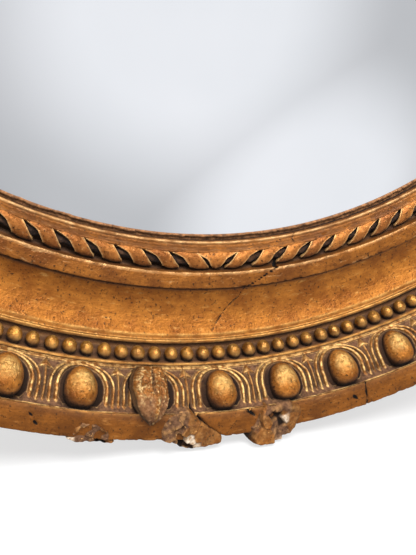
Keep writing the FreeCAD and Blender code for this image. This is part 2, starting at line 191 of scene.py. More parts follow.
def turned(name, corners, materials, bare, seed, pitch, cracks=(), chips=0.5,
           rubbed_and_highlight=(), dusty=(), shaded_spots=()):
    """Ring swept from a section. Corners after the index in bare are sawn wood, not gilded."""
    line = eased(corners, pitch)
    angle = stations()
    normal = outward(line)
    points = swept(line, angle)
    push = WEAR * (speckle(points, 13.0, seed) + 0.45 * speckle(points, 3.2, seed + 1) - 0.8)
    bend = np.linalg.norm(np.roll(normal, -1, axis=0) - np.roll(normal, 1, axis=0), axis=1)
    edge = np.clip(bend - 0.3, 0.0, 1.0)
    push -= chips * edge * np.clip(speckle(points, 4.0, seed + 2) * 2.2 - 0.25, 0.0, 1.0)
    front = line[:, 1] > FRONT_START
    dark = np.zeros(push.shape)
    sway = 0.5 * speckle(points, 2.5, seed + 3)
    for crack, half_width, depth in cracks:
        gap = near_line(angle[:, None], line[None, :, 0], crack) + sway
        inside = np.exp(-np.clip(gap / half_width, 0.0, 6.0) ** 2) * front
        push -= depth * inside
        dark = np.maximum(dark, inside)
    first = int(np.argmin(np.linalg.norm(line - np.array(corners[bare]), axis=1)))
    column = np.arange(len(line))
    pick = np.tile(((column >= first) | (column < 1)).astype(int), len(angle))
    even = np.ones(dark.shape)
    uneven = np.clip(0.8 + 0.9 * speckle(points, 6.0, seed + 4), 0.25, 1.0)
    shades = {"crack": [dark], "wear_and_highlight": [painted(line, rubbed_and_highlight) * uneven],
              "dust": [painted(line, dusty) * even], "painted_shade": [painted(line, shaded_spots) * even]}
    skin = swept(line, angle, (push * front)[..., None] * normal)
    return make(name, [skin], materials, wrap=True, pick=pick, shades=shades)


def paint(red, green, blue):
    """Colour as it looks on the object, from 0 to 255, turned into light values."""
    levels = [level / 255.0 for level in (red, green, blue)]
    return tuple(level / 12.92 if level <= 0.04045 else ((level + 0.055) / 1.055) ** 2.4
                 for level in levels) + (1.0,)


def feed(node, inputs):
    """Join each input of a node to what another gives out, or set it to a fixed value."""
    for key, value in inputs.items():
        if isinstance(value, bpy.types.NodeSocket):
            node.id_data.links.new(value, node.inputs[key])
        else:
            node.inputs[key].default_value = value


def add(tree, kind, inputs, **settings):
    made = tree.nodes.new("ShaderNode" + kind)
    for key, value in settings.items():
        setattr(made, key, value)
    feed(made, inputs)
    return made.outputs


def mixed(share, first, second):
    return add(share.id_data, "Mix", {0: share, 6: first, 7: second}, data_type="RGBA")[2]


def spread(value, low, high, start=0.0, end=1.0, **settings):
    return add(value.id_data, "MapRange", {"Value": value, "From Min": low, "From Max": high,
                                           "To Min": start, "To Max": end}, **settings)[0]


def calc(operation, first, second):
    return add(first.id_data, "Math", {0: first, 1: second}, operation=operation)[0]


def mottle(place, scale, detail, roughness=0.5, distortion=0.0):
    return add(place.id_data, "TexNoise", {"Vector": place, "Scale": scale, "Detail": detail,
                                           "Roughness": roughness, "Distortion": distortion})[0]


def blank(name):
    """A new material, its nodes, its shader, and the place on the object that it is drawn from."""
    material = bpy.data.materials.new(name)
    material.use_nodes = True
    tree = material.node_tree
    return material, tree, tree.nodes["Principled BSDF"], add(tree, "TexCoord", {})["Object"]


def gilt(name, light, deep, rubbed_and_highlight, grime_and_shade, roughness=0.46, metal=0.6, reach=0.009, ring=False,
         relief=0.0008):
    """Bronze powder over red bole: mottled and rubbed bright on edges, with painted highlights, and
    painted shade darkening the hollows and other shaded places.
    """
    light, deep, rubbed_and_highlight, grime_and_shade = [paint(*colour) for colour in (light, deep, rubbed_and_highlight, grime_and_shade)]
    material, tree, shader, place = blank(name)
    dust, wear_and_highlight, painted_shade, chalk, crack = [
        add(tree, "Attribute", {}, attribute_name=shade)["Fac"]
        for shade in ("dust", "wear_and_highlight", "painted_shade", "chalk", "crack")]
    brushed = place
    if ring:
        split = add(tree, "SeparateXYZ", {0: place})
        turn = calc("ARCTAN2", split["X"], calc("MULTIPLY", split["Z"], -1.0))
        flat = add(tree, "CombineXYZ", {"X": split["X"], "Y": 0.0, "Z": split["Z"]})[0]
        away = add(tree, "VectorMath", {0: flat}, operation="LENGTH")["Value"]
        run = calc("MULTIPLY", turn, 0.10)
        brushed = add(tree, "CombineXYZ", {"X": away, "Y": split["Y"], "Z": run})[0]
    cloud = mottle(place, 55.0, 5.0, 0.65)
    fine = mottle(brushed, 380.0, 5.0, 0.7)
    pits = mottle(place, 560.0, 3.0, 0.6)
    colour = mixed(spread(cloud, 0.38, 0.62), deep, light)
    colour = mixed(spread(fine, 0.50, 0.70, 0.0, 0.85), colour, deep)
    colour = mixed(spread(fine, 0.42, 0.28, 0.0, 0.40), colour, rubbed_and_highlight)
    colour = mixed(spread(pits, 0.59, 0.68, 0.0, 0.85), colour, grime_and_shade)
    colour = mixed(dust, colour, mixed(spread(fine, 0.35, 0.65), DUST_LIGHT, DUST_DARK))
    crest = add(tree, "NewGeometry", {})["Pointiness"]
    # Rubbed wear and painted highlight: sharp edges and the rub shade turn towards the bright colour;
    # the rub shade also marks lit faces, crests and egg crowns.
    worn_and_highlit = calc("MAXIMUM", spread(crest, 0.52, 0.60), wear_and_highlight)
    worn_and_highlit = calc("MULTIPLY", worn_and_highlit, spread(fine, 0.66, 0.46, 0.25, 1.0))
    colour = mixed(worn_and_highlit, colour, rubbed_and_highlight)
    # Painted shade: ambient occlusion darkens the hollows towards the dark colour given for grime,
    # which also fills the random pits.
    shelter = add(tree, "AmbientOcclusion", {"Distance": reach}, samples=6)["AO"]
    shade_and_dirt = spread(shelter, 0.25, 0.80, 0.95, 0.0)
    colour = mixed(shade_and_dirt, colour, grime_and_shade)
    # Painted shade: the soot shade darkens shaded gaps, pits, grooves and undersides towards near
    # black.
    colour = mixed(painted_shade, colour, PAINTED_SHADE_TONE)
    colour = mixed(chalk, colour, mixed(spread(fine, 0.4, 0.62), GESSO_LIGHT, GESSO_DARK))
    colour = mixed(spread(crack, 0.25, 0.6), colour, CRACK_DEPTH)
    for share in (dust, painted_shade, chalk):
        shade_and_dirt = calc("MAXIMUM", shade_and_dirt, share)
    dull = spread(cloud, 0.3, 0.7, roughness - 0.07, roughness + 0.09)
    rough = calc("ADD", fine, pits)
    bump = add(tree, "Bump", {"Height": rough, "Strength": 0.6, "Distance": relief})[0]
    feed(shader, {"Base Color": colour, "Roughness": calc("MAXIMUM", dull, shade_and_dirt),
                  "Metallic": spread(shade_and_dirt, 0.0, 0.6, metal, 0.0),
                  "Specular IOR Level": 0.3, "Normal": bump})
    return material


def timber(name, light, dark, turn=0.0, along="X", fineness=1.0):
    """Old sawn pine: grain drawn out along the board, browned by age."""
    light, dark = paint(*light), paint(*dark)
    material, tree, shader, place = blank(name)
    place = add(tree, "VectorRotate", {"Vector": place, "Angle": turn}, rotation_type="Y_AXIS")[0]
    stretch = [150.0 * fineness] * 3
    stretch["XYZ".index(along)] = 8.0
    drawn = add(tree, "VectorMath", {0: place, 1: stretch}, operation="MULTIPLY")[0]
    grain = mottle(drawn, 1.0, 6.0, 0.62, 0.6)
    stain = mottle(place, 14.0, 3.0)
    colour = mixed(spread(grain, 0.35, 0.68), light, dark)
    colour = mixed(spread(stain, 0.52, 0.75, 0.0, 0.6), colour, dark)
    bump = add(tree, "Bump", {"Height": grain, "Strength": 0.4, "Distance": 0.0008})[0]
    feed(shader, {"Base Color": colour, "Roughness": spread(grain, 0.3, 0.7, 0.7, 0.9),
                  "Normal": bump})
    return material


DUST_LIGHT = paint(124, 88, 62)
DUST_DARK = paint(74, 48, 31)
# Near-black colour of painted shade, for gaps, pits, grooves and undersides.
PAINTED_SHADE_TONE = paint(30, 18, 11)
GESSO_LIGHT = paint(232, 214, 190)
GESSO_DARK = paint(168, 132, 98)
CRACK_DEPTH = paint(14, 9, 6)

bare_pine = timber("bare_pine", (150, 112, 74), (96, 66, 42), along="Y")
cove_gilt = gilt("cove_gilt", (188, 118, 44), (142, 81, 26), (246, 190, 108), (50, 32, 20),
                 ring=True)

REBATE = 347.0
SHELF = 33.0
HOLLOW_START = np.array([368.15, 48.27])
HOLLOW_END = np.array([398.25, 53.77])
HOLLOW_SAG = 4.6
MIDDLE_EDGE = 414.05

chord = HOLLOW_END - HOLLOW_START
down = np.array([chord[1], -chord[0]]) / np.linalg.norm(chord)
hollow_line = []
for share in np.linspace(0.0, 1.0, 19):
    sag = 4.0 * HOLLOW_SAG * share * (1.0 - share)
    hollow_line.append(HOLLOW_START + chord * share + down * sag)
middle_section = [
    (REBATE, BACK), (REBATE, SHELF), (HOLLOW_START[0], SHELF), *hollow_line,
    (401.05, 53.97), (401.05, 56.27), (403.25, 56.27), (404.6, 54.6), (407.25, 54.67),
    (412.05, 60.47), (412.05, 68.07), (413.7, 68.07), (MIDDLE_EDGE, 67.8), (MIDDLE_EDGE, BACK)]
hollow_crack = ([(355.0, -82.2), (367.6, -86.6), (376.0, -87.3), (382.7, -88.5), (396.6, -90.3)],
                0.4, 0.5)
# Painted shade at the quirk line where the hollow starts; the rubbed spots on the fillets and the
# astragal are wear and painted highlight.
middle_ring = turned(
    "middle_ring", middle_section, [cove_gilt, bare_pine], bare=-2, seed=11, pitch=1.0,
    cracks=[hollow_crack],
    rubbed_and_highlight=[(398.25, 53.77, 0.8, 0.6), (401.05, 56.27, 0.8, 1.0), (403.25, 56.27, 0.7, 0.8),
            (413.05, 68.07, 1.6, 0.75)],
    dusty=[(405.0, 54.6, 1.6, 1.0), (408.5, 56.0, 3.0, 1.0), (411.5, 60.5, 3.2, 1.0),
           (412.0, 64.5, 2.2, 0.9)],
    shaded_spots=[(369.0, 48.0, 1.3, 0.9)])
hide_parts("hollow_ring")


# Sight ring. A second turned ring, glued on the middle ring's shelf: a rounded sight edge with a
# painted highlight on its inner face, a channel for the twisted ribbon, and a flat fascia with a
# rubbed and highlit upper edge.

sight_gilt = gilt("sight_gilt", (166, 102, 38), (118, 67, 25), (252, 200, 136), (40, 26, 17),
                  reach=0.008, ring=True)
sight_section = [
    (338.9, 33.2), (338.9, 38.0), (339.3, 39.1), (340.3, 39.7), (341.7, 39.6), (342.5, 40.2),
    (343.1, 42.0), (343.9, 44.1), (344.9, 45.3), (346.2, 44.6), (347.4, 40.4), (350.0, 36.6),
    (354.5, 38.6), (357.2, 43.5), (357.4, 49.37), (362.0, 50.6), (368.0, 51.77), (368.0, 33.2)]
edge_crack = ([(338.0, -79.9), (343.0, -80.4), (352.0, -81.6), (358.0, -83.4)], 0.4, 0.8)
# Painted shade: the black gap under the nose, the quirk line and, together with grime, the channel
# floor; painted highlight on the nose's inner face and on the fascia's worn edge.
sight_ring = turned(
    "sight_moulding", sight_section, [sight_gilt, bare_pine], bare=-1, seed=23, pitch=1.0,
    cracks=[edge_crack, hollow_crack], chips=0.8,
    rubbed_and_highlight=[(339.7, 39.5, 0.9, 0.85), (357.5, 49.7, 0.8, 1.0)],
    dusty=[(343.4, 42.6, 2.4, 0.45), (350.0, 36.6, 4.0, 1.0), (356.0, 41.0, 3.5, 1.0)],
    shaded_spots=[(338.9, 34.8, 3.4, 1.0), (350.0, 36.6, 3.0, 0.6), (368.1, 51.0, 0.6, 0.8)])
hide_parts("sight_ring")


# Twisted ribbon. A pressed band wound round a rough stick in the channel. Its lean turns over
# at the bottom and at the top, where one wide turn stands between the two halves.

CHANNEL_MIDDLE = np.array([350.27, 40.32])
CHANNEL_ALONG = np.array([0.85, 0.53])
CHANNEL_OUT = np.array([-0.53, 0.85])
CHANNEL = (CHANNEL_MIDDLE, CHANNEL_ALONG, CHANNEL_OUT)
TURNS = 116
RIBBON_RUNS = 4
RIBBON_HALF = 6.0
RIBBON_LEAN = 6.0
MIDDLE_HALF = 9.2
MIDDLE_LEAN = 4.2
BAND_REACH = 7.7
BAND_RISE = 6.9
BAND_THICKNESS = 1.5
RIBBON_RADIUS = 349.0
BAND_FLARE = 7.5
BAND_TAIL = 1.8
STICK_HALF = (3.6, 3.0)

across_band = np.array([-1.0, -0.95, -0.86, -0.65, -0.35, 0.0, 0.35, 0.65, 0.86, 0.95, 1.0])
round_stick = np.radians(np.linspace(-6.0, 186.0, 33))


def placed(seat, along, away):
    """Radius and height of spots on a seat, given by its origin and its two directions."""
    origin, ahead, out = seat
    return [origin[axis] + along * ahead[axis] + away * out[axis] for axis in (0, 1)]


def ribbon_turn(number, generator):
    """One visible turn of the band: a barrel-shaped face with thin rolled edges."""
    angle = BOTTOM + 360.0 / TURNS * number + generator.normal(0.0, 0.05)
    half = RIBBON_HALF * (1.0 + generator.normal(0.0, 0.06))
    left_lean = RIBBON_LEAN * (1.0 + generator.normal(0.0, 0.07))
    right_lean = left_lean
    if number % TURNS in (0, TURNS // 2):
        half = MIDDLE_HALF
        left_lean, right_lean = MIDDLE_LEAN, -MIDDLE_LEAN
        if number % TURNS:
            left_lean, right_lean = -MIDDLE_LEAN, MIDDLE_LEAN
    elif 0 < number < TURNS // 2:
        left_lean, right_lean = -left_lean, -right_lean
    degrees = np.degrees(round_stick)
    wave = np.sin(round_stick)
    swing = -np.cos(round_stick)
    swing = 0.72 * swing + 0.28 * swing ** 3
    lower = np.clip((degrees - 20.0) / 110.0, 0.0, 1.0)
    closing = np.clip((degrees - 140.0) / 40.0, 0.0, 1.0)
    swell = 0.06 if half == MIDDLE_HALF else 0.32
    waist = half * (0.82 + swell * lower) * (1.0 - 0.16 * closing ** 2)
    waist = waist + 0.5 * wave.clip(0.0) - 0.5
    early = np.clip((126.0 - degrees) / 56.0, 0.0, 1.0)
    flare = BAND_FLARE * early * early * (3.0 - 2.0 * early)
    tail = BAND_TAIL * closing * (half != MIDDLE_HALF)
    left = -waist + left_lean * swing - flare * (left_lean > 0.0) - tail * (left_lean < 0.0)
    right = waist + right_lean * swing + flare * (right_lean < 0.0) + tail * (right_lean > 0.0)
    tail_side = np.sign(left_lean + right_lean)
    rim = np.exp(-((np.abs(across_band) - 0.95) / 0.07) ** 2)
    crown = 1.0 - 0.15 * across_band ** 2
    late = 1.0 - 0.06 * (1.0 - tail_side * across_band)
    loops = []
    for index in range(len(round_stick)):
        side = left[index] + (right[index] - left[index]) * (across_band + 1.0) / 2.0
        steps = round_stick[index] * late
        spots = []
        for inward, order in ((0.0, slice(None)), (BAND_THICKNESS, slice(None, None, -1))):
            reach = (BAND_REACH * crown + 0.5 * rim - inward)[order]
            rise = (BAND_RISE * crown + 0.5 * rim - inward)[order]
            spots.append(placed(CHANNEL, -reach * np.cos(steps[order]), rise * np.sin(steps[order])))
        radius, height = np.concatenate(spots, axis=1)
        turn = np.degrees(np.concatenate([side, side[::-1]]) / RIBBON_RADIUS)
        loops.append(at(radius, angle + turn, height))
    skin = np.stack(loops)
    lumps = 0.30 * speckle(skin, 5.0, number + 200) + 0.14 * speckle(skin, 2.0, number + 201)
    away = skin - at(CHANNEL_MIDDLE[0], angle, CHANNEL_MIDDLE[1])
    away = away / np.linalg.norm(away, axis=-1, keepdims=True)
    # Painted highlight on the rolled rims of the band's front face, carried in the rub shade.
    shine = np.tile(np.concatenate([0.85 * rim, 0.0 * rim]), (len(round_stick), 1))
    return skin + away * lumps[..., None] * MM, shine


ribbon_gilt = gilt("ribbon_gilt", (196, 124, 58), (138, 80, 34), (252, 200, 132), (40, 26, 17),
                   roughness=0.42, reach=0.005)
for run in range(RIBBON_RUNS):
    generator = np.random.default_rng(400 + run)
    per_run = TURNS // RIBBON_RUNS
    turns = [ribbon_turn(run * per_run + step, generator) for step in range(per_run)]
    ribbon = make("twisted_ribbon_%d" % (run + 1), [skin for skin, shine in turns],
                  [ribbon_gilt], shades={"wear_and_highlight": [shine for skin, shine in turns]})
    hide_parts("ribbon_run_%d" % (run + 1))

# Painted shade: the stick's colours are set dark for the shade in the gaps between the turns, over
# the stick's own brown.
stick_gilt = gilt("stick_gilt", (112, 76, 50), (50, 33, 23), (150, 106, 72), (20, 14, 11),
                  roughness=0.65, metal=0.1, reach=0.009, relief=0.0016)
stick_angle = np.arange(0.0, 360.0, 0.2)
stick_turn = np.radians(np.arange(0.0, 360.0, 15.0))
stick_centre = CHANNEL_MIDDLE + CHANNEL_OUT * 0.4
stick_line = np.stack(placed((stick_centre, CHANNEL_ALONG, CHANNEL_OUT),
                             -STICK_HALF[0] * np.cos(stick_turn),
                             STICK_HALF[1] * np.sin(stick_turn)), -1)
stick_points = swept(stick_line, stick_angle)
stick_swell = 1.3 * speckle(stick_points, 5.0, 71) + 0.9 * speckle(stick_points, 2.2, 72)
stick_out = (stick_line - stick_centre) / np.mean(STICK_HALF)
stick_skin = swept(stick_line, stick_angle, stick_swell[..., None] * stick_out)
stick = make("ribbon_stick", [stick_skin], [stick_gilt], wrap=True)


# Bead course. 234 slightly oval beads, pressed in strips and bedded in the channel below the
# fillets, with painted shade round their feet.

BEADS = 234
BEAD_RUNS = 6
BEAD_OFFSET = -0.1
BEAD_CENTRE = np.array([408.3, 62.0])
BEAD_DOWN = np.array([0.64, 0.77])
BEAD_OUT = np.array([-0.77, 0.64])
BEAD_SEAT = (BEAD_CENTRE, BEAD_DOWN, BEAD_OUT)
BEAD_HALF = (4.3, 5.1, 4.6)

bead_rows = np.radians(np.linspace(6.0, 174.0, 13))
bead_columns = np.radians(np.arange(0.0, 360.0, 18.0))


def bead(number, generator):
    """An oval bead, each a little different, with its poles to the left and the right."""
    angle = BOTTOM + BEAD_OFFSET + 360.0 / BEADS * number + generator.normal(0.0, 0.03)
    size = 1.0 + generator.normal(0.0, 0.025)
    side = -np.cos(bead_rows)[:, None] * BEAD_HALF[0] * size
    girth = np.sin(bead_rows)[:, None] * size
    along = girth * np.cos(bead_columns)[None, :] * BEAD_HALF[1]
    away = girth * np.sin(bead_columns)[None, :] * BEAD_HALF[2]
    radius, height = placed(BEAD_SEAT, along, away)
    skin = at(radius, angle + np.degrees(side / BEAD_CENTRE[0]), height)
    centre = at(BEAD_CENTRE[0], angle, BEAD_CENTRE[1])
    dent = 1.0 + 0.06 * speckle(skin, 3.0, number + 500)[..., None]
    # Painted shade: the underside and foot of each bead are darkened into a dark crescent.
    under = (0.9 * along - away) / BEAD_HALF[2]
    foot_shade = 0.95 * np.clip((under + 0.55) / 1.1, 0.0, 1.0) ** 1.3
    return centre + (skin - centre) * dent, foot_shade


bead_gilt = gilt("bead_gilt", (196, 126, 44), (138, 80, 26), (252, 200, 116), (38, 24, 15),
                 roughness=0.36, metal=0.7, reach=0.005)
for run in range(BEAD_RUNS):
    generator = np.random.default_rng(700 + run)
    per_run = BEADS // BEAD_RUNS
    beads = [bead(run * per_run + step, generator) for step in range(per_run)]
    course = make("bead_course_%d" % (run + 1), [skin for skin, foot_shade in beads], [bead_gilt],
                  shades={"painted_shade": [foot_shade for skin, foot_shade in beads]})
    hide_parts("bead_run_%d" % (run + 1))


# Outer ring. The third turned ring carries the egg-and-dart on a rounded seat; beyond it are a
# dusty ledge, a broad front fascia and the side, which tapers to the back.

# Painted shade: the outer ring's gilt is set darker than the cove's for the lesser light on the front
# fascia, over the gilding's own tone.
outer_gilt = gilt("outer_gilt", (158, 95, 34), (116, 66, 22), (224, 158, 84), (60, 38, 22),
                  roughness=0.52, reach=0.006, ring=True)
outer_section = [
    (414.2, BACK), (414.2, 65.0), (419.6, 72.9), (428.0, 82.3), (436.25, 89.6), (433.4, 95.0),
    (433.05, 95.6), (441.0, 97.1), (449.35, 98.0), (449.35, 83.26), (440.75, 63.26),
    (440.75, BACK)]
egg_crack = ([(407.7, -94.4), (422.8, -94.2), (433.6, -93.7), (443.0, -92.4), (452.8, -90.7)],
             1.0, 3.2)
branch_crack = ([(422.3, -95.8), (427.8, -95.2), (432.9, -94.4), (435.3, -93.9)], 0.5, 1.2)
ledge_gap = ([(430.0, -89.3), (436.2, -88.6), (438.0, -88.3)], 0.9, 2.4)
side_crack = ([(432.0, -77.5), (452.0, -77.6)], 0.4, 1.2)
nicks = [([(438.6, -106.7), (439.5, -106.5)], 0.8, 1.0),
         ([(442.8, -106.2), (443.9, -106.0)], 0.8, 1.0),
         ([(440.6, -78.8), (442.8, -78.5)], 1.0, 1.0),
         ([(438.0, -112.4), (438.4, -112.2)], 0.6, 0.8)]
# The rubbed spots on the ledge edge and the fascia's rim are wear and painted highlight.
outer_ring = turned(
    "outer_moulding", outer_section, [outer_gilt, bare_pine], bare=-1, seed=37, pitch=0.9,
    cracks=[egg_crack, branch_crack, ledge_gap, side_crack, *nicks], chips=0.9,
    rubbed_and_highlight=[(433.1, 95.7, 0.9, 1.0), (449.3, 98.0, 0.5, 0.5)],
    dusty=[(434.8, 92.5, 3.0, 1.0)])
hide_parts("outer_ring")


# Egg-and-dart. Sixty plump eggs in deep pits, each under an arch of two thin reeds, with a
# barbed arrow between neighbours. It is pressed in six strips and glued on the rounded seat.

EGGS = 60
EGG_PITCH = 360.0 / EGGS
EGG_RUNS = 6
EGG_OFFSET = -0.87
LOST_EGG = 59
DENTED_EGG = 1
SEAT_HEAD = np.array([414.4, 67.2])
SEAT_DOWN = np.array([0.7, 0.714])
SEAT_OUT = np.array([-0.714, 0.7])
EGG_SEAT = (SEAT_HEAD, SEAT_DOWN, SEAT_OUT)
SEAT_LENGTH = 31.0
STRIP_LENGTH = 33.0
FOOT_START = 26.2
SEAT_BULGE = 4.5
HALF_PITCH = 22.25
MIDDLE_RADIUS = HALF_PITCH / math.radians(EGG_PITCH / 2.0)
EGG_MIDDLE = 18.4
EGG_LIFT = 3.6
STRIP_UNDER = 1.6
STRIP_GAP = 0.02
EGG_HALF = (10.1, 12.6, 9.8)
ARCH_FOOT = 19.0
INNER_REED = (15.1, 16.0)
OUTER_REED = (19.1, 17.6)
INNER_HALF = 1.25
OUTER_HALF = 1.0
DART_TIP = 2.9
DART_BARB = 9.5
DART_HALF = 4.3
SHIFTED_EGG = 58
EGG_SHIFT = 0.18
DRIFT_PLACE = -102.9
DRIFT_REACH = 2.6
DRIFT = 0.2


def arch(side, along, reach):
    """Signed distance from an arched reed, positive outside it."""
    width, rise = reach
    above = np.clip(ARCH_FOOT - along, 0.0, None) / rise
    below = np.clip(along - ARCH_FOOT, 0.0, None)
    foot = width - 0.05 * below
    return (np.hypot(np.abs(side) / foot, above) - 1.0) * width


def drift(angle):
    """Small slip of one pressed unit round the ring, in degrees."""
    return -DRIFT * np.exp(-((angle - DRIFT_PLACE) / DRIFT_REACH) ** 2)


def step_up(value, low, high):
    """A smooth step from 0 at the low value to 1 at the high one."""
    share = np.clip((value - low) / (high - low), 0.0, 1.0)
    return share * share * (3.0 - 2.0 * share)


def rib(gap, half):
    """Round back of a thin reed, from 1 on its crest to 0 at its sides."""
    return np.sqrt(np.clip(1.0 - (gap / half) ** 2, 0.0, 1.0))


def relief(side, along):
    """Height of the strip over the seat's line, and its shares of bright gold (wear and painted
    highlight on the crests), dust, and painted shade in the pits and grooves.
    """
    side, along = np.broadcast_arrays(side, along)
    share = np.clip(along / SEAT_LENGTH, 0.0, 1.0)
    seat = 4.0 * SEAT_BULGE * share * (1.0 - share) - 0.7
    inner = arch(side, along, INNER_REED)
    outer = arch(side, along, OUTER_REED)
    off = HALF_PITCH - np.abs(side)
    reeds = np.maximum(2.1 * rib(inner, INNER_HALF), 1.9 * rib(outer, OUTER_HALF))
    reeds = reeds * (0.6 + 0.4 * step_up(along, 2.0, 9.0))
    stem = 1.5 * rib(off, 0.8) * step_up(along, DART_BARB - 2.5, DART_BARB - 1.5)
    flare = DART_HALF * np.clip((along - DART_TIP) / (DART_BARB - DART_TIP), 0.0, 1.0)
    edge = DART_BARB - 1.0 * np.clip(1.0 - off / DART_HALF, 0.0, 1.0)
    solid = step_up(flare - off, -0.35, 0.25) * step_up(edge - along, -0.2, 0.3)
    barb = solid * (1.5 + 1.3 * np.clip(1.0 - off / np.maximum(flare, 0.1), 0.0, 1.0))
    border = 1.3 * (1.0 - step_up(along, 2.2, 3.2))
    over = np.maximum(np.maximum(reeds, stem), np.maximum(barb, border))
    pit = step_up(-inner, 1.1, 2.4) * (1.6 + 1.4 * step_up(along, 5.0, 11.0))
    foot = FOOT_START + 2.3 - 4.5 * step_up(np.abs(side), 9.5, 14.5)
    foot = foot + 2.0 * step_up(np.abs(side), 14.5, 17.0)
    rise = 6.5 * np.clip((along - foot) / (STRIP_LENGTH - foot), 0.0, 1.0) ** 1.3
    away = np.maximum(seat + over - pit, seat + rise)
    on_foot = step_up(rise - over + pit, 0.0, 1.4) * (along > foot)
    gilded = step_up(over, 0.25, 0.8) * (1.0 - on_foot)
    # Painted highlight with wear: the crests of the reeds, stems, barbs and the border are made
    # bright.
    crest = np.maximum(step_up(rib(inner, INNER_HALF), 0.55, 0.95),
                       step_up(rib(outer, OUTER_HALF), 0.55, 0.95))
    crest = np.maximum(crest, 0.35 * step_up(rib(off, 0.8), 0.4, 0.9))
    lip = solid * (0.42 + 0.55 * step_up(1.5 - (edge - along), 0.0, 1.0))
    crest = np.where(solid > 0.4, lip, np.maximum(crest, 0.65 * border / 1.3))
    rim = step_up(along, STRIP_LENGTH - 1.2, STRIP_LENGTH - 0.4)
    bright = np.maximum(crest * gilded, rim)
    # Painted shade: the pits inside the arches and the grooves by the darts are darkened.
    painted_shade = step_up(-inner, 1.0, 2.4) * (0.55 + 0.43 * step_up(along, 4.0, 12.0))
    painted_shade = painted_shade * (0.93 + 0.07 * step_up(side, -4.0, 6.0))
    groove = step_up(inner, 0.2, 1.2) * step_up(along, DART_BARB - 1.5, DART_BARB + 2.0)
    painted_shade = np.maximum(painted_shade, 0.68 * groove) * (1.0 - on_foot) * (1.0 - gilded)
    dust = np.clip(1.0 - gilded, 0.0, 1.0) * (1.0 - painted_shade) * (1.0 - rim)
    return away, bright, dust, painted_shade


def hidden_below(shades, plain):
    """Shades of a skin whose loops end in points below that are left plain."""
    return {key: [np.concatenate([part, plain], axis=1)] for key, part in shades.items()}


def egg_strip(run, pitch):
    """One pressed strip of ten units as a closed solid, drawn from its relief."""
    length = EGG_PITCH * EGGS / EGG_RUNS
    first = BOTTOM + EGG_OFFSET + length * run - EGG_PITCH / 2.0
    step = pitch / math.radians(1.0) / MIDDLE_RADIUS
    count = int(round(length / step))
    angle = np.linspace(first + STRIP_GAP, first + length - STRIP_GAP, count)
    along = np.linspace(0.0, STRIP_LENGTH, int(STRIP_LENGTH / pitch))
    side = (angle - drift(angle) - first) % EGG_PITCH - EGG_PITCH / 2.0
    side = np.radians(side) * MIDDLE_RADIUS
    away, gold, dust, painted_shade = relief(side[:, None], along[None, :])
    radius, height = placed(EGG_SEAT, along, away)
    points = at(radius, angle[:, None], height)
    grain = 0.25 * speckle(points, 5.0, run + 30) + 0.22 * speckle(points, 1.7, run + 40)
    torn = np.zeros(away.shape)
    for line, width in ((egg_crack[0], 0.9), (branch_crack[0], 0.6)):
        gap = near_line(angle[:, None], radius, line) + 0.5 * grain
        torn = np.maximum(torn, step_up(1.0 - gap / width, 0.0, 0.6))
    away = away + grain - 1.8 * torn
    radius, height = placed(EGG_SEAT, along, away)
    top = at(radius, angle[:, None], height)
    under = []
    for end in (STRIP_LENGTH, 0.0):
        low_radius, low_height = placed(EGG_SEAT, end, -STRIP_UNDER)
        under.append(at(low_radius, angle, low_height))
    patches = 0.75 + 0.9 * speckle(points, 13.0, run + 50) + 1.6 * speckle(points, 2.6, run + 60)
    patches = patches + 0.5 * speckle(points, 1.1, run + 70)
    gold = gold * np.clip(patches, 0.08, 1.0)
    shades = {"crack": torn, "wear_and_highlight": gold, "dust": dust, "painted_shade": painted_shade}
    skin = np.concatenate([top, np.stack(under, axis=1)], axis=1)
    return skin, hidden_below(shades, np.zeros((len(angle), 2)))


egg_rows = np.radians(np.concatenate([[3.0], np.linspace(9.0, 171.0, 31), [177.0]]))
egg_columns = np.radians(np.arange(0.0, 360.0, 7.5))


def egg(number, generator):
    """A plump egg, narrower at its upper end, lying in its pit."""
    angle = BOTTOM + EGG_OFFSET + EGG_PITCH * number + generator.normal(0.0, 0.04)
    angle = angle - (EGG_SHIFT if number == SHIFTED_EGG else 0.0)
    size = 1.0 + generator.normal(0.0, 0.02)
    end = -np.cos(egg_rows)[:, None]
    taper = 1.0 + 0.10 * end - 0.05 * end ** 2
    girth = np.sin(egg_rows)[:, None] ** np.where(end > 0.0, 0.64, 0.84) * taper * size
    side = girth * np.cos(egg_columns)[None, :] * EGG_HALF[0]
    away = EGG_LIFT + girth * np.sin(egg_columns)[None, :] * EGG_HALF[2]
    along = EGG_MIDDLE + end * EGG_HALF[1]
    radius, height = placed(EGG_SEAT, along, away)
    skin = at(radius, angle + np.degrees(side / MIDDLE_RADIUS), height)
    swell = 0.30 * speckle(skin, 7.0, number + 90) + 0.20 * speckle(skin, 2.4, number + 91)
    # Painted shade: each egg darkens towards its seat and flanks, where shade falls in the pit.
    foot_shade = 0.92 * (1.0 - step_up(away - 0.8 * step_up(along, 22.0, 30.0), 4.6, 11.6))
    # Painted highlight: the crown of each egg is brightened through the rub shade.
    glow = 0.75 * step_up(away, 8.5, 13.0) * (1.0 - step_up(along, 14.0, 27.0))
    if number == DENTED_EGG:
        swell = swell - 1.3 * np.exp(-((side + 2.6) / 2.0) ** 2 - ((along - 23.0) / 4.0) ** 2)
        swell = swell - 0.9 * np.exp(-(side / 6.0) ** 2 - ((along - 27.6) / 0.9) ** 2)
    middle_radius, middle_height = placed(EGG_SEAT, EGG_MIDDLE, EGG_LIFT)
    away_from = skin - at(middle_radius, angle, middle_height)
    unit = away_from / np.linalg.norm(away_from, axis=-1, keepdims=True)
    return skin + unit * swell[..., None] * MM, np.clip(foot_shade, 0.0, 1.0), glow


strip_gilt = gilt("strip_gilt", (176, 110, 50), (124, 74, 33), (255, 206, 130), (30, 19, 12),
                  roughness=0.45, reach=0.004)
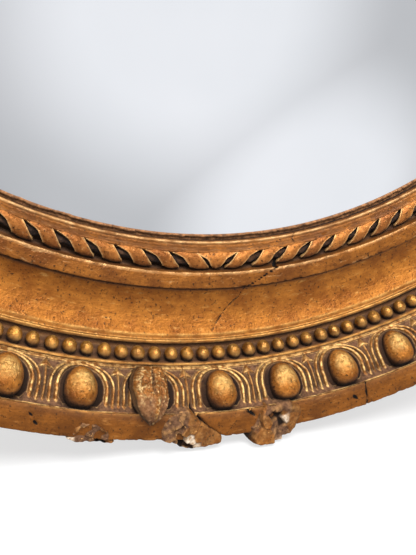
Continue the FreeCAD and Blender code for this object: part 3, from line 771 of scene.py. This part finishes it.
# The eggs' light colour is set brighter than the strip's, partly as a painted highlight.
egg_gilt = gilt("egg_gilt", (212, 134, 52), (140, 80, 27), (255, 208, 126), (36, 22, 13),
                roughness=0.38, metal=0.65, reach=0.006, relief=0.0016)
for run in range(EGG_RUNS):
    generator = np.random.default_rng(900 + run)
    seen = run in (0, EGG_RUNS - 1)
    strip, strip_shades = egg_strip(run, 0.4 if seen else 0.8)
    dart_strip = make("egg_and_dart_strip_%d" % (run + 1), [strip], [strip_gilt],
                      shades=strip_shades)
    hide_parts("egg_run_%d" % (run + 1))
    per_run = EGGS // EGG_RUNS
    numbers = [run * per_run + step for step in range(per_run)]
    eggs = [egg(number, generator) for number in numbers if number != LOST_EGG]
    eggs_piece = make("eggs_%d" % (run + 1), [skin for skin, foot_shade, glow in eggs], [egg_gilt],
                      shades={"painted_shade": [foot_shade for skin, foot_shade, glow in eggs],
                              "wear_and_highlight": [glow for skin, foot_shade, glow in eggs]})
    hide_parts("egg_run_%d" % (run + 1))


# Torn leaf. What is left of a carved bow or leaf at the bottom: a lumpy fragment with a groove
# down its middle, glued where one egg is lost, its broken tip on the front fascia.

leaf_stations = [
    (411.9, 74.0, -98.03, -96.02), (413.0, 80.0, -98.62, -96.02), (415.2, 85.5, -98.94, -95.97),
    (418.5, 91.0, -99.07, -96.04), (422.4, 96.0, -98.9, -96.08), (426.5, 99.0, -98.75, -96.26),
    (430.7, 100.5, -98.41, -96.53), (435.1, 100.0, -97.82, -96.85), (439.2, 97.6, -97.4, -97.16)]
LEAF_ROWS = 90
LEAF_COLUMNS = 60
LEAF_DOME = 5.0
LEAF_RISE = 0.82
LEAF_LEAN = 0.8
LEAF_DEPTH = 11.0
LEAF_UNDER = 8.0 * 0.57
LEAF_BREAK = 0.5


def leaf_skin():
    """The fragment as closed loops across the leaf, from its upper end to the broken tip."""
    keys = np.linspace(0.0, 1.0, len(leaf_stations))
    down, across = np.meshgrid(np.linspace(0.0, 1.0, LEAF_ROWS),
                               np.linspace(-1.0, 1.0, LEAF_COLUMNS), indexing="ij")
    radius, height, left, right = [np.interp(down, keys, values) for values in zip(*leaf_stations)]
    angle = left + (right - left) * (across + 1.0) / 2.0
    groove = 1.9 * np.exp(-((across - 0.02 - 0.2 * down) / 0.10) ** 2)
    groove = groove * (1.0 - step_up(down, 0.40, LEAF_BREAK))
    rim = 1.1 * np.exp(-((across + 0.78) / 0.16) ** 2) * (1.0 - step_up(down, 0.5, 0.62))
    broken = step_up(down, LEAF_BREAK - 0.06, LEAF_BREAK + 0.06)
    ridge = 1.8 * np.exp(-((across - 0.22) / 0.16) ** 2) * broken
    hollow = 2.0 * broken * np.exp(-((across + 0.32) / 0.32) ** 2)
    hollow = hollow + 1.5 * broken * np.exp(-((across - 0.72) / 0.2) ** 2)
    dome = LEAF_DOME * np.clip(1.0 - across ** 2, 0.0, 1.0) ** 0.4 - 1.8
    dome = dome * step_up(down, -0.12, 0.10) * (1.0 - 0.55 * step_up(down, 0.8, 1.0))
    spots = at(radius, angle, height)
    creased = 1.0 - 3.2 * np.abs(speckle(spots, 5.0, 61))
    small = speckle(spots, 1.8, 62)
    tiny = speckle(spots, 1.0, 64)
    rugged = 0.45 * creased + 0.7 * speckle(spots, 4.2, 67) + 0.9 * small + 0.5 * tiny - 0.3
    rugged = rugged * (1.0 - 0.6 * broken * (across < 0.1))
    rugged = rugged * np.clip(1.3 - np.abs(across) ** 6, 0.3, 1.0)
    comb = 1.3 * np.exp(-((across + 0.14 - 0.2 * down) / 0.09) ** 2) * (1.0 - step_up(down, 0.2, 0.4))
    away = dome - groove + rim + comb + ridge - hollow + rugged
    top = at(radius + away * SEAT_OUT[0] * LEAF_LEAN, angle, height + away * LEAF_RISE)
    low = at(radius + LEAF_UNDER, angle, height - LEAF_DEPTH)
    dust = 0.72 * broken * np.clip(1.0 - ridge / 1.2, 0.0, 1.0)
    # Painted highlight: the lit left rim, the ridge and the comb are brightened, along with random
    # wear specks.
    lit_edge = np.exp(-((across + 0.74) / 0.2) ** 2) * (1.0 - step_up(down, 0.58, 0.7))
    gold = 0.25 * creased + 0.9 * small + 0.9 * tiny + 0.8 * lit_edge + 0.35 * ridge + 0.5 * comb
    gold = 0.85 * step_up(gold, 0.2, 1.5) * (1.0 - 0.85 * dust)
    # Painted shade: the groove and the leaf's steep sides are darkened.
    painted_shade = np.clip(groove / 2.2, 0.0, 1.0) * 0.6 + 0.8 * (np.abs(across) > 0.97)
    shades = {"dust": dust, "wear_and_highlight": gold, "painted_shade": painted_shade}
    return np.concatenate([top, low[:, ::-1]], axis=1), hidden_below(shades, np.zeros(dust.shape))


leaf_gilt = gilt("leaf_gilt", (202, 132, 62), (146, 90, 42), (255, 216, 150), (52, 33, 21),
                 roughness=0.42, reach=0.005, relief=0.0014)
leaf, leaf_shades = leaf_skin()
leaf = make("torn_leaf_fragment", [leaf], [leaf_gilt], shades=leaf_shades)
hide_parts("torn_leaf")


# Stumps. Three broken lumps of the same ornament's base on the front fascia: a thin scab, a
# nodular lump with a smooth facet, and a blocky stub with ribs. White gesso shows in the breaks.

stump_gilt = gilt("stump_gilt", (160, 97, 38), (112, 66, 28), (240, 178, 104), (40, 26, 17),
                  roughness=0.5, metal=0.5, reach=0.004, relief=0.0012)
STUMP_ROWS = 34
STUMP_COLUMNS = 170
FRONT_HEIGHT = 96.0
FRONT_SLOPE = 0.12
FRONT_MIDDLE = 441.0
STUMP_RADIUS = 445.0
LOWEST = -cad_low.z / MM - 1.4


def broken_skin(outline, faces, rough, seed):
    """A broken lump over an outline, with flat broken faces that meet in sharp steps.

    Faces are grouped by what they show: wood, gold, chalk or hole. Each has a place (radius,
    angle), a height over the front and, where it slopes, a fall outwards and one to the right.
    """
    shape = np.array(outline, float)
    closed = np.vstack([shape, shape[:1]])
    step = np.hypot(np.diff(closed[:, 0]), np.radians(np.diff(closed[:, 1])) * STUMP_RADIUS)
    walk = np.concatenate([[0.0], np.cumsum(step)])
    steps = np.linspace(0.0, walk[-1], STUMP_COLUMNS, endpoint=False)
    rim_radius = np.interp(steps, walk, closed[:, 0])
    rim_angle = np.interp(steps, walk, closed[:, 1])
    rim_radius = rim_radius + 0.35 * np.sin(steps * 1.1 + seed) * np.sin(steps * 0.37)
    middle = shape.mean(axis=0)
    share = np.concatenate([[1.0, 1.0, 1.0], np.linspace(1.0, 0.01, STUMP_ROWS)])[:, None]
    radius = middle[0] + (rim_radius - middle[0])[None, :] * share
    angle = middle[1] + (rim_angle - middle[1])[None, :] * share
    radius = np.minimum(radius, LOWEST / np.abs(np.sin(np.radians(angle))))
    spots = at(radius, angle, FRONT_HEIGHT)
    warp = 0.5 * speckle(spots, 4.0, seed + 5)
    gaps, lifts, kinds = [], [], []
    for kind, group in faces.items():
        for place_radius, place_angle, lift, *slope in group:
            fall, lean = (slope + [0.0, 0.0])[:2]
            down = radius - place_radius
            right = np.radians(angle - place_angle) * radius
            gaps.append(np.hypot(down, right) + warp * math.sin(7.0 * place_angle))
            lifts.append(lift + fall * down + lean * right)
            kinds.append(kind)
    gaps = np.array(gaps)
    weight = np.exp(-(gaps - gaps.min(axis=0)) / 0.28)
    weight = weight / weight.sum(axis=0)
    lift = (weight * np.array(lifts)).sum(axis=0)
    shown = {kind: weight[np.array(kinds) == kind].sum(axis=0) for kind in faces}
    edge = np.clip((1.0 - share) / 0.10, 0.0, 1.0) ** 0.5
    seam = step_up(1.0 - weight.max(axis=0), 0.30, 0.5)
    rugged = rough * (speckle(spots, 4.5, seed) + 0.7 * speckle(spots, 2.0, seed + 1))
    rugged = rugged * (0.22 + 0.78 * shown["wood"]) * edge
    height = FRONT_HEIGHT + FRONT_SLOPE * (radius - FRONT_MIDDLE) + lift * edge + rugged
    for row, depth in enumerate((12.0, 6.0, 1.5)):
        height[row] = FRONT_HEIGHT + FRONT_SLOPE * (radius[row] - FRONT_MIDDLE) - depth
    gold = np.clip(0.15 + 1.2 * rugged / max(rough, 0.1), 0.0, 0.8) * (1.0 - 0.7 * shown["wood"])
    # Painted shade: holes and the seams between broken faces are darkened.
    shades = {"dust": [shown["wood"]], "chalk": [shown["chalk"]], "wear_and_highlight": [gold],
              "painted_shade": [np.maximum(shown["hole"], 0.55 * seam)]}
    return at(radius, angle, height), shades


scab_outline = [
    (450.2, -103.6), (451.6, -103.2), (451.6, -102.7), (450.8, -101.8), (450.7, -101.1),
    (451.0, -100.9), (451.4, -100.1), (450.4, -99.95), (448.0, -100.45), (445.6, -100.5),
    (443.4, -100.8), (441.4, -101.3), (440.4, -101.8), (440.2, -102.7), (441.6, -102.9),
    (443.7, -103.2), (446.2, -103.2), (448.7, -103.4)]
scab_faces = {
    "wood": [(440.7, -102.4, 1.8, -0.15), (441.8, -101.6, 2.2, -0.2), (446.0, -101.9, 1.6, 0.03),
             (448.8, -102.7, 1.2, 0.1), (447.8, -100.9, 2.0, 0.1), (445.0, -102.6, 0.4),
             (449.6, -101.9, 1.0)],
    "hole": [(442.9, -102.2, -1.0), (444.9, -101.1, -0.6), (447.2, -101.3, -0.6),
             (450.6, -101.0, -2.0)],
    "gold": [(443.8, -103.1, 2.0), (443.0, -101.0, 2.6, 0.1, 0.1), (450.6, -100.2, -0.8)],
    "chalk": [(450.0, -103.4, 0.6)]}
nodular_outline = [
    (449.0, -96.3), (443.3, -96.4), (439.0, -96.2), (435.5, -95.9), (433.0, -95.2), (431.5, -94.2),
    (434.2, -93.65), (437.1, -93.25), (441.4, -92.5), (447.8, -91.25), (450.4, -91.15),
    (453.3, -91.2), (454.6, -92.3), (455.2, -93.2), (455.2, -94.0), (453.8, -94.6), (452.0, -95.0),
    (450.4, -95.6)]
nodular_faces = {
    "wood": [(435.8, -95.5, 2.0, 0.2, 0.1), (440.1, -95.8, 2.6, -0.1), (438.8, -95.0, 3.6, 0.1),
             (443.3, -96.1, 2.4, -0.1, 0.2), (446.4, -95.5, 3.4, 0.2),
             (436.0, -94.6, 1.4, 0.3, 0.2), (442.2, -94.8, 2.0), (454.2, -94.0, -2.6),
             (449.9, -95.2, 1.6, 0.2)],
    "hole": [(447.6, -94.85, -1.2), (451.8, -94.6, -2.0), (454.2, -93.8, 0.0)],
    "gold": [(443.8, -94.5, 4.4), (449.6, -93.3, 2.2, 0.0, -0.1), (452.6, -92.6, 1.6, 0.0, -0.1),
             (442.0, -93.8, 3.2, 0.05, -0.12), (437.0, -93.9, 2.4, 0.1, -0.1),
             (447.0, -93.2, 2.4, 0.0, -0.1), (450.5, -92.2, 1.6, 0.0, -0.06),
             (443.5, -92.9, 1.9, 0.0, -0.1), (447.5, -91.8, 1.2)],
    "chalk": [(448.4, -94.1, 2.4, 0.1), (451.0, -93.7, 1.8, 0.1), (453.4, -93.3, 1.0, 0.1)]}
ribbed_outline = [
    (449.3, -89.1), (451.6, -89.0), (454.1, -88.8), (456.6, -88.2), (457.0, -86.8),
    (456.6, -85.95), (454.7, -85.9), (454.0, -85.1), (450.9, -84.6), (447.4, -84.4),
    (444.3, -84.15), (439.7, -83.95), (436.1, -84.2), (432.8, -84.95), (432.8, -85.7),
    (433.8, -86.5), (433.0, -87.1), (434.6, -87.7), (438.0, -88.0), (441.2, -88.15),
    (445.0, -88.45), (446.0, -89.0)]
ribbed_faces = {
    "gold": [(450.1, -87.7, 6.4, 0.0, -0.04), (440.0, -87.3, 5.4, 0.3, -0.2),
             (433.6, -87.5, 2.6, 0.3), (438.8, -85.8, 3.2), (436.0, -84.7, 3.2, 0.0, -0.1),
             (441.5, -84.9, 2.8, -0.05, -0.1), (449.1, -85.0, 2.2, -0.05, -0.1)],
    "hole": [(443.9, -89.3, 0.4), (436.6, -88.5, 0.6), (438.4, -87.0, 0.6), (438.6, -86.2, 0.8),
             (443.6, -86.2, 1.4), (447.6, -89.7, 0.0)],
    "wood": [(444.0, -86.5, 3.8, 0.1, -0.35), (435.6, -87.15, 4.2, 0.2, 0.1),
             (436.2, -86.2, 3.4, 0.1), (435.2, -85.5, 3.8, 0.1), (453.0, -85.6, 2.0, 0.0, -0.1),
             (450.6, -85.8, 2.4), (440.6, -88.6, 2.4)],
    "chalk": [(440.6, -85.75, 3.8), (455.4, -85.6, 3.0)]}
for name, node, outline, faces, rough, seed in (
        ("scab", "left_stump", scab_outline, scab_faces, 0.5, 83),
        ("nodular_stub", "middle_stump", nodular_outline, nodular_faces, 0.8, 85),
        ("ribbed_stub", "right_stump", ribbed_outline, ribbed_faces, 0.6, 87)):
    skin, stump_shades = broken_skin(outline, faces, rough, seed)
    stump = make(name, [skin], [stump_gilt], shades=stump_shades)
    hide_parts(node)


# Mirror plate. Convex silvered glass of even thickness, gone slightly grey with age.

GLASS_RADIUS = 346.0
GLASS_EDGE = 28.0
GLASS_CURVE = 1200.0
GLASS_THICKNESS = 4.0
GLASS_CENTRE = 0.01


def stained(name, scale, detail, share, light, dark, rough, metal=0.0):
    """A finish that is cloudy between two colours; its roughness is one number or goes with it."""
    material, tree, shader, place = blank(name)
    cloud = mottle(place, scale, detail)
    if isinstance(rough, tuple):
        rough = spread(cloud, 0.3, 0.7, *rough)
    feed(shader, {"Base Color": mixed(spread(cloud, *share), paint(*light), paint(*dark)),
                  "Roughness": rough, "Metallic": metal})
    return material


def glass_height(radius):
    edge = math.sqrt(GLASS_CURVE ** 2 - GLASS_RADIUS ** 2)
    return GLASS_EDGE + np.sqrt(GLASS_CURVE ** 2 - radius ** 2) - edge


silver = stained("silvered_glass_face", 9.0, 3.0, (0.3, 0.7), (236, 237, 240), (230, 232, 235),
                 (0.05, 0.09), metal=1.0)
backing = stained("silvering_back", 60.0, 6.0, (0.4, 0.65), (92, 94, 96), (62, 58, 54), 0.6)
glass_rings = GLASS_RADIUS * np.sin(np.radians(np.linspace(90.0, 0.0, 46)))
glass_rings = np.maximum(glass_rings, GLASS_CENTRE)
glass_line = np.concatenate([
    np.stack([glass_rings[::-1], glass_height(glass_rings[::-1])], -1),
    np.stack([glass_rings, glass_height(glass_rings) - GLASS_THICKNESS], -1)])
glass_angle = np.arange(0.0, 360.0, 1.5)
glass_skin = swept(glass_line, glass_angle)
glass_pick = np.tile((np.arange(len(glass_line)) >= len(glass_rings)).astype(int), len(glass_angle))
glass = make("convex_mirror", [glass_skin], [silver, backing], wrap=True, pick=glass_pick)
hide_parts("mirror_glass")


# Slip. A thin strip of stained wood on the edge of the glass, brittle and worn, with a gap between it
# and the sight edge that is painted black as shade on the sight ring.

slip_wood = timber("slip_stain", (178, 122, 74), (84, 54, 32), along="Y", fineness=3.0)
slip_section = eased([(336.2, 30.9), (336.2, 32.4), (336.7, 32.9), (337.7, 32.8), (338.0, 31.3),
                      (343.9, 31.4), (343.9, 29.3)], ease=0.3, pitch=0.8)
slip_angle = stations()
slip_points = swept(slip_section, slip_angle)
slip_free = (slip_section[:, 0] < 339.0) & (slip_section[:, 1] > 31.6)
slip_wear = speckle(slip_points, 9.0, 51) + 0.7 * speckle(slip_points, 2.6, 52)
slip_push = np.stack([0.55 * slip_wear, 0.5 * np.clip(slip_wear, -1.5, 0.4)], -1)
slip_skin = swept(slip_section, slip_angle, slip_push * slip_free[:, None])
slip = make("stained_slip", [slip_skin], [slip_wood], wrap=True)
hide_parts("glass_slip")


# Back blocks. Twelve straight pine blocks with mitred ends, glued behind the mouldings.

def dress(node, finish):
    """Give one finish to all slots of a piece that the frame carries."""
    for slot in bpy.data.objects[node].material_slots:
        slot.material = finish


BLOCKS = 12

for number in range(BLOCKS):
    turn = math.radians(360.0 / BLOCKS * (number + 0.5))
    dress("back_block_%02d" % (number + 1),
          timber("block_pine_%02d" % (number + 1), (172, 128, 82), (104, 70, 42),
                 turn=turn, along="Z"))


# Backboard. Five thin planks stand side by side within the blocks, nailed to the back of the
# middle ring and held together by three battens. Small wedge blocks press the glass forward.

for number in range(5):
    dress("backboard_plank_%d" % (number + 1),
          timber("plank_pine_%d" % (number + 1), (160 + 6 * (number % 3), 122, 80),
                 (100, 70, 44), along="Z"))
batten_pine = timber("batten_pine", (150, 108, 66), (86, 58, 36), along="X")
wedge_pine = timber("wedge_pine", (176, 134, 88), (110, 76, 48), along="Y")
iron = stained("cut_nail_iron", 700.0, 4.0, (0.4, 0.6), (52, 44, 40), (110, 62, 36), 0.7,
               metal=0.6)
for node in ("batten_lower", "batten_middle", "batten_upper"):
    dress(node, batten_pine)
dress("wedge_blocks", wedge_pine)
for node in ("board_nails", "batten_nails"):
    dress(node, iron)


# Hangers. A steel strap with a rolled eye is screwed in a pocket of the left and the right
# block, and a D-shaped ring swings in its eye.

steel = stained("old_steel", 300.0, 5.0, (0.42, 0.62), (122, 114, 104), (78, 60, 46),
                (0.35, 0.6), metal=0.9)
for side in ("left", "right"):
    for node in ("hanger_strap_", "hanger_ring_", "hanger_screws_"):
        dress(node + side, steel)


# Floor, light and camera. A pale floor, one large soft light above and in front, and the
# camera close to the lower part of the frame, looking down across it.

CAMERA_PLACE = (-0.1779, -0.4500, -0.2354)
CAMERA_YAW = math.radians(-21.5)
CAMERA_PITCH = math.radians(-18.2)
CAMERA_ROLL = math.radians(0.8)
FRAME_TURN = math.radians(5.69)
FOCAL_PIXELS = 700.0
IMAGE_HEIGHT = 555.0
SENSOR = 36.0
LAMP_PLACE = Vector((-0.15, -0.85, 0.85))
LAMP_AIM = Vector((-0.05, 0.0, -0.4))
FLOOR = cad_low.z - 0.0006
REACH = 6.0


def grey(level):
    return (level, level, level, 1.0)


def toward(heading, way):
    """How nearly a direction of the sky is the given one, up to 1."""
    return add(heading.id_data, "VectorMath", {0: heading, 1: way},
               operation="DOT_PRODUCT")["Value"]


floor_mesh = bpy.data.meshes.new("floor")
floor_mesh.from_pydata([(-REACH, -REACH, FLOOR), (REACH, -REACH, FLOOR), (REACH, REACH, FLOOR),
                        (-REACH, REACH, FLOOR)], [], [(0, 1, 2, 3)])
floor = linked("floor", floor_mesh)
pale, tree, pale_shader = blank("pale_floor")[:3]
rays = add(tree, "LightPath", {})
feed(pale_shader, {"Base Color": mixed(rays["Is Camera Ray"], grey(0.5), grey(0.9)),
                   "Roughness": 0.9, "Specular IOR Level": 0.0})
lifted = add(tree, "Emission", {"Color": grey(0.97), "Strength": 1.0})[0]
lift_share = calc("MULTIPLY", rays["Is Camera Ray"], 0.7)
seen_floor = add(tree, "MixShader", {0: lift_share, 1: pale_shader.outputs[0], 2: lifted})[0]
clear = add(tree, "BsdfTransparent", {})[0]
pale_mix = add(tree, "MixShader", {0: rays["Is Glossy Ray"], 1: seen_floor, 2: clear})[0]
feed(tree.nodes["Material Output"], {"Surface": pale_mix})
floor_mesh.materials.append(pale)

world = bpy.data.worlds.new("studio")
bpy.context.scene.world = world
world.use_nodes = True
tree = world.node_tree
rays = add(tree, "LightPath", {})
heading = add(tree, "TexCoord", {})["Generated"]
glow = spread(toward(heading, (0.39, -0.88, -0.27)), 0.35, 0.85, 0.10, 0.63)
lobes = [spread(toward(heading, way), low, high, 0.0, 0.42, interpolation_type="SMOOTHSTEP")
         for way, low, high in (((0.27, -0.93, -0.22), 0.860, 0.995),
                                ((0.59, -0.57, -0.57), 0.915, 0.998))]
glow = calc("ADD", glow, calc("MAXIMUM", *lobes))
sheen = mixed(glow, grey(0.0), (1.0, 1.01, 1.03, 1.0))
upward = add(tree, "SeparateXYZ", {"Vector": heading})["Z"]
fill = mixed(spread(upward, -0.6, 0.7, 0.18, 0.62), grey(0.0), grey(1.0))
fill = mixed(rays["Is Glossy Ray"], fill, sheen)
seen = mixed(rays["Is Camera Ray"], fill, grey(0.98))
feed(tree.nodes["Background"], {"Color": seen})

lamp_data = bpy.data.lights.new("window_light", "AREA")
lamp_data.shape = "RECTANGLE"
lamp_data.size = 1.1
lamp_data.size_y = 0.7
lamp_data.energy = 30.0
lamp = linked("window_light", lamp_data)
lamp.location = LAMP_PLACE
lamp.rotation_mode = "QUATERNION"
lamp.rotation_quaternion = (LAMP_AIM - LAMP_PLACE).to_track_quat("-Z", "Y")

camera_data = bpy.data.cameras.new("camera")
camera_data.sensor_width = SENSOR
camera_data.lens = FOCAL_PIXELS / IMAGE_HEIGHT * SENSOR
camera_data.clip_start = 0.01
camera = linked("camera", camera_data)
aim = (Matrix.Rotation(-FRAME_TURN, 3, "Y") @ Matrix.Rotation(CAMERA_YAW, 3, "Z")
       @ Matrix.Rotation(CAMERA_PITCH, 3, "X") @ Matrix.Rotation(CAMERA_ROLL, 3, "Y")
       @ Matrix.Rotation(math.radians(90.0), 3, "X"))
camera.matrix_world = Matrix.Translation(CAMERA_PLACE) @ aim.to_4x4()
bpy.context.scene.camera = camera
bpy.context.scene.view_settings.view_transform = "Standard"
